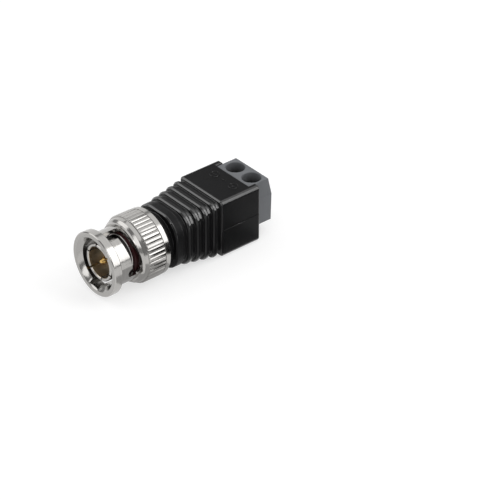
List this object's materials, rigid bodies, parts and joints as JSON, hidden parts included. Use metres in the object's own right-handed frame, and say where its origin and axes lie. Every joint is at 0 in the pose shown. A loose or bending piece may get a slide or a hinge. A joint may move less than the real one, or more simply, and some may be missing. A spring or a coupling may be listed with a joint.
{
  "type": "bnc screw terminal adapter",
  "caption": "Coaxial bayonet plug with a knurled coupling nut, ribbed black jacket and screw terminal.",
  "frame": {"origin": "on the connector axis, at the front tip of the outer contact", "axes": "+X along the axis from the mating end to the terminal, +Z out of the screw holes"},
  "size_m": [0.0417, 0.0144, 0.0144],
  "materials": {
    "nut_nickel": "satin",
    "contact_bronze": "satin",
    "pin_gold": "polished",
    "insulator_white": "matte",
    "plug_nickel": "satin",
    "gasket_red": "matte",
    "spring_steel": "satin",
    "washer_nickel": "satin",
    "jacket_black": "matte",
    "housing_grey": "satin",
    "contact_tin": "satin",
    "guard_tin": "satin",
    "screw_zinc": "satin",
    "lead_red": "gloss",
    "lead_black": "gloss"
  },
  "bodies": {
    "adapter": {"outer_contact": "contact_bronze", "centre_pin": "pin_gold", "front_insulator": "insulator_white", "rear_insulator": "insulator_white", "plug_body": "plug_nickel", "gasket": "gasket_red", "wave_washer": "spring_steel", "jacket": "jacket_black", "terminal_housing": "housing_grey", "signal_lead": "lead_red", "ground_lead": "lead_black", "contact_plus": "contact_tin", "contact_minus": "contact_tin"},
    "thrust_washer": {"flat_washer": "washer_nickel"},
    "nut": {"coupling_nut": "nut_nickel", "retaining_ring": "spring_steel"},
    "guard_plus": {"wire_guard_plus": "guard_tin"},
    "screw_plus": {"terminal_screw_plus": "screw_zinc"},
    "guard_minus": {"wire_guard_minus": "guard_tin"},
    "screw_minus": {"terminal_screw_minus": "screw_zinc"}
  },
  "joints": [
    {"name": "nut_float", "type": "slide", "parent": "adapter", "child": "thrust_washer", "axis": [-1, 0, 0], "range_m": [0, 0.0006], "stiffness_N_per_m": 8000, "deforming": ["wave_washer"]},
    {"name": "nut_turn", "type": "hinge", "parent": "thrust_washer", "child": "nut", "pos_m": [0.0095, 0, 0], "axis": [1, 0, 0], "continuous": true},
    {"name": "guard_travel_plus", "type": "slide", "parent": "adapter", "child": "guard_plus", "axis": [0, 0, -1], "range_m": [0, 0.0023]},
    {"name": "screw_turn_plus", "type": "hinge", "parent": "guard_plus", "child": "screw_plus", "pos_m": [0.0373, -0.00254, 0.002], "axis": [0, 0, -1], "range_deg": [0, 1840]},
    {"name": "guard_travel_minus", "type": "slide", "parent": "adapter", "child": "guard_minus", "axis": [0, 0, -1], "range_m": [0, 0.0023]},
    {"name": "screw_turn_minus", "type": "hinge", "parent": "guard_minus", "child": "screw_minus", "pos_m": [0.0373, 0.00254, 0.002], "axis": [0, 0, -1], "range_deg": [0, 1840]}
  ],
  "couplings": [
    {"joint": "screw_turn_plus", "follows": "guard_travel_plus", "rad_per_m": 13963},
    {"joint": "screw_turn_minus", "follows": "guard_travel_minus", "rad_per_m": 13963}
  ]
}
